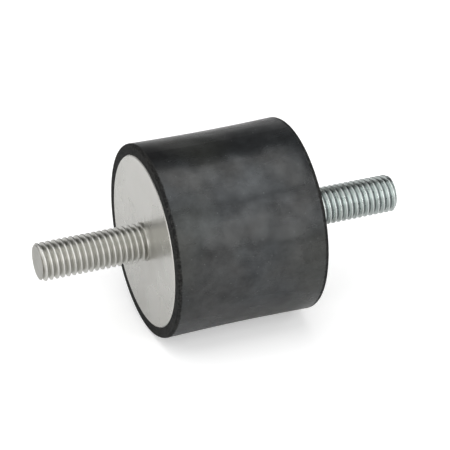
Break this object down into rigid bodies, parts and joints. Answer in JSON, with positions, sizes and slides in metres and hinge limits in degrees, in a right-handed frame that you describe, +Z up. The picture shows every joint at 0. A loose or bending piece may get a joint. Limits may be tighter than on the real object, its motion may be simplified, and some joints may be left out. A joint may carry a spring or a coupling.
{
  "type": "bobbin vibration mount",
  "caption": "Cylindrical rubber vibration mount with a slightly waisted side, a steel plate bonded into each end and a threaded stud standing out of each plate.",
  "frame": {"origin": "middle of the mount, on its axis, halfway between the outer faces of the two plates", "axes": "+X along the mount's axis, from the front stud to the rear stud; +Z up with the mount lying on its side; +Y away from the viewer of the front side"},
  "size_m": [0.0962, 0.05, 0.05],
  "materials": {
    "rubber": "matt black natural rubber with a faint grey bloom",
    "plate_steel": "satin, ground flat",
    "front_stud_steel": "rolled thread, warm grey",
    "rear_stud_steel": "rolled thread, bright plated, cool grey"
  },
  "bodies": {
    "root": {"rubber_body": "rubber", "front_plate": "plate_steel", "rear_plate": "plate_steel", "front_stud": "front_stud_steel", "rear_stud": "rear_stud_steel"}
  },
  "joints": []
}
